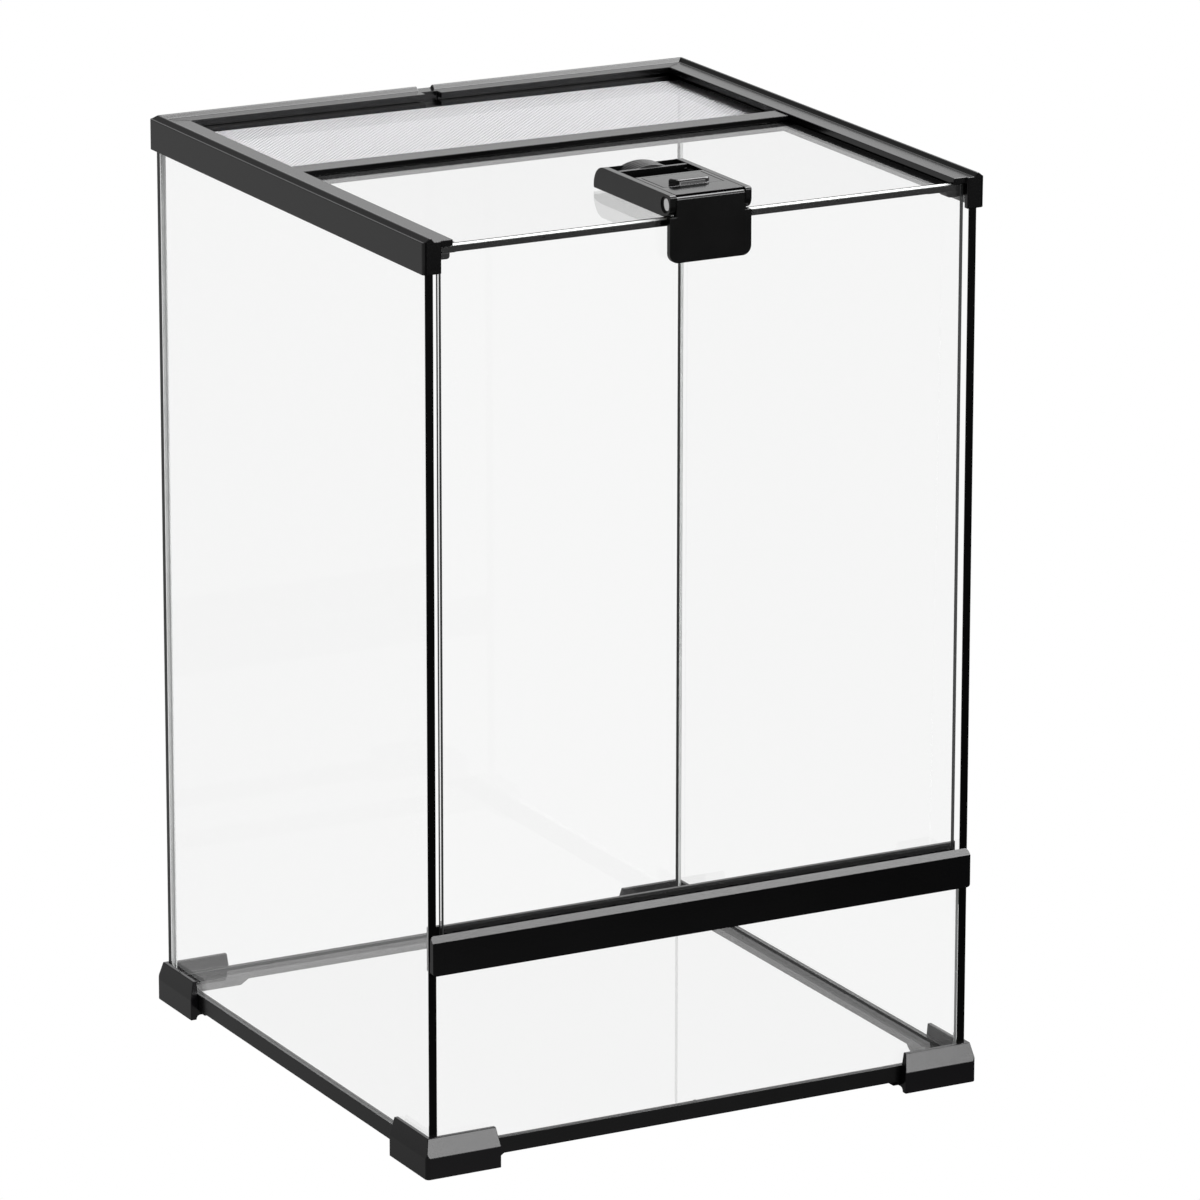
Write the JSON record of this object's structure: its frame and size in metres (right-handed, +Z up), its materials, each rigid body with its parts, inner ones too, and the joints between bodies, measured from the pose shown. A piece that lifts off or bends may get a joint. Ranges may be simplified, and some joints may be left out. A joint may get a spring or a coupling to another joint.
{
  "type": "reptile terrarium",
  "caption": "Front-opening glass reptile terrarium on corner feet, with a drop-in door pane held by a lock, a glass and gauze top and a cable notch.",
  "frame": {"origin": "middle of the footprint, on the surface that the feet stand on", "axes": "+Z up along the tank's height, +X to the right seen from the front, -Y towards the front with the door and the lock"},
  "size_m": [0.3, 0.3, 0.464],
  "materials": {
    "glass": "clear float glass",
    "edge_black": "black edge coating",
    "silicone": "black silicone",
    "gauze": "fine woven wire",
    "pin_steel": "polished",
    "pad_foam": "black bonding foam",
    "slider_plastic": "satin black",
    "lock_plastic": "satin black",
    "foot_plastic": "satin black moulding",
    "edging_plastic": "matt black extrusion",
    "frame_plastic": "satin black moulding"
  },
  "bodies": {
    "tank": {"base_pane": "glass", "left_pane": "glass", "right_pane": "glass", "rear_pane": "glass", "lower_front_pane": "glass", "top_pane": "glass", "left_edge_trim": "edge_black", "right_edge_trim": "edge_black", "top_edge_trim": "edge_black", "rear_left_seal": "silicone", "rear_right_seal": "silicone", "left_rail": "frame_plastic", "right_rail": "frame_plastic", "rear_rail": "frame_plastic", "cross_rail": "frame_plastic", "top_gauze": "gauze", "front_bar": "frame_plastic", "base_edge_front": "edging_plastic", "base_edge_rear": "edging_plastic", "base_edge_left": "edging_plastic", "base_edge_right": "edging_plastic", "foot_front_left": "foot_plastic", "foot_front_right": "foot_plastic", "foot_rear_left": "foot_plastic", "foot_rear_right": "foot_plastic", "lock_pad": "pad_foam", "lock_body": "lock_plastic", "lock_grip": "lock_plastic", "lock_pin": "pin_steel"},
    "door": {"door_pane": "glass"},
    "flap": {"lock_flap": "lock_plastic"},
    "slider": {"lock_slider": "slider_plastic"}
  },
  "joints": [
    {"name": "door_tilt", "type": "hinge", "parent": "tank", "child": "door", "pos_m": [0, -0.1452, 0.1068], "axis": [1, 0, 0], "range_deg": [0, 2.7]},
    {"name": "flap_swing", "type": "hinge", "parent": "tank", "child": "flap", "pos_m": [0, -0.1448, 0.4562], "axis": [-1, 0, 0], "range_deg": [0, 90]},
    {"name": "slider_slide", "type": "slide", "parent": "tank", "child": "slider", "axis": [0, 1, 0], "range_m": [0, 0.015]}
  ],
  "couplings": [
    {"joint": "flap_swing", "follows": "door_tilt", "ratio": 33.333},
    {"joint": "slider_slide", "follows": "door_tilt", "m_per_rad": 0.3183}
  ]
}
